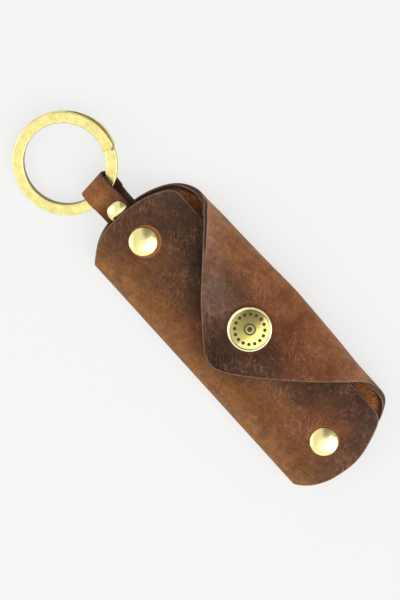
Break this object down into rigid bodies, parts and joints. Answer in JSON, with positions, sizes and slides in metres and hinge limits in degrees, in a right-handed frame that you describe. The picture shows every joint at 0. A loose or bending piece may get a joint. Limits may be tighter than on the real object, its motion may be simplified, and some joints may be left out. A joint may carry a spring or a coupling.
{
  "type": "key organiser",
  "caption": "Folded leather key organiser with a pointed snap flap, barrel screws that hold keys between its panels, and a riveted loop strap with a split ring.",
  "frame": {"origin": "middle of the back panel's outer face, which lies flat at z = 0", "axes": "+X along the case, away from the key ring; +Y towards the curl, the side the flap opens to; +Z from the back panel through the front panel to the snap cap"},
  "size_m": [0.1538, 0.0447, 0.0153],
  "materials": {
    "case_leather": "waxed pull-up leather, lighter at the folds, with dark patches and fine creases",
    "strap_leather": "waxed pull-up leather with dark edges",
    "polished_brass": "polished, slightly domed heads",
    "plain_brass": "plain turned and pressed",
    "cap_brass": "satin field inside a bright rim",
    "ring_brass": "satin, lightly tarnished",
    "spring_steel": "drawn wire"
  },
  "bodies": {
    "root": {"leather_wrap": "case_leather", "ring_end_post": "polished_brass", "ring_end_screw": "polished_brass", "far_end_post": "polished_brass", "far_end_screw": "polished_brass", "ring_end_washer_lower": "plain_brass", "ring_end_washer_upper": "plain_brass", "far_end_spacer_1": "plain_brass", "far_end_spacer_2": "plain_brass", "far_end_spacer_3": "plain_brass", "far_end_spacer_4": "plain_brass", "snap_stud": "plain_brass", "snap_stud_base": "plain_brass"},
    "curl_1": {"flap_fold_strip_1": "case_leather"},
    "curl_2": {"flap_fold_strip_2": "case_leather"},
    "curl_3": {"flap_fold_strip_3": "case_leather"},
    "curl_4": {"flap_fold_strip_4": "case_leather"},
    "curl_5": {"flap_fold_strip_5": "case_leather"},
    "flap": {"closing_flap": "case_leather", "snap_cap": "cap_brass", "snap_socket": "plain_brass", "snap_spring": "spring_steel"},
    "strap": {"loop_strap": "strap_leather", "loop_rivet_cap": "polished_brass", "loop_rivet_post": "polished_brass"},
    "ring": {"key_ring": "ring_brass"}
  },
  "joints": [
    {"name": "flap_open", "type": "hinge", "parent": "root", "child": "curl_1", "pos_m": [0, 0.02059, 0.00023], "axis": [-1, 0, 0], "range_deg": [0, 29]},
    {"name": "flap_bend_2", "type": "hinge", "parent": "curl_1", "child": "curl_2", "pos_m": [0, 0.02368, 0.00202], "axis": [-1, 0, 0], "range_deg": [0, 29]},
    {"name": "flap_bend_3", "type": "hinge", "parent": "curl_2", "child": "curl_3", "pos_m": [0, 0.02547, 0.00511], "axis": [-1, 0, 0], "range_deg": [0, 29]},
    {"name": "flap_bend_4", "type": "hinge", "parent": "curl_3", "child": "curl_4", "pos_m": [0, 0.02547, 0.00869], "axis": [-1, 0, 0], "range_deg": [0, 29]},
    {"name": "flap_bend_5", "type": "hinge", "parent": "curl_4", "child": "curl_5", "pos_m": [0, 0.02368, 0.01178], "axis": [-1, 0, 0], "range_deg": [0, 29]},
    {"name": "flap_bend_6", "type": "hinge", "parent": "curl_5", "child": "flap", "pos_m": [0, 0.02059, 0.01357], "axis": [-1, 0, 0], "range_deg": [0, 29]},
    {"name": "strap_swivel", "type": "hinge", "parent": "root", "child": "strap", "pos_m": [-0.0444, 0, 0.0052], "axis": [0, 0, 1], "range_deg": [-32, 32]},
    {"name": "ring_swing", "type": "hinge", "parent": "strap", "child": "ring", "pos_m": [-0.06535, 0, 0.0052], "axis": [0, 0.9848, 0.1736], "range_deg": [-105, 120]}
  ],
  "couplings": [
    {"joint": "flap_bend_2", "follows": "flap_open", "ratio": 1},
    {"joint": "flap_bend_3", "follows": "flap_open", "ratio": 1},
    {"joint": "flap_bend_4", "follows": "flap_open", "ratio": 1},
    {"joint": "flap_bend_5", "follows": "flap_open", "ratio": 1},
    {"joint": "flap_bend_6", "follows": "flap_open", "ratio": 1}
  ]
}
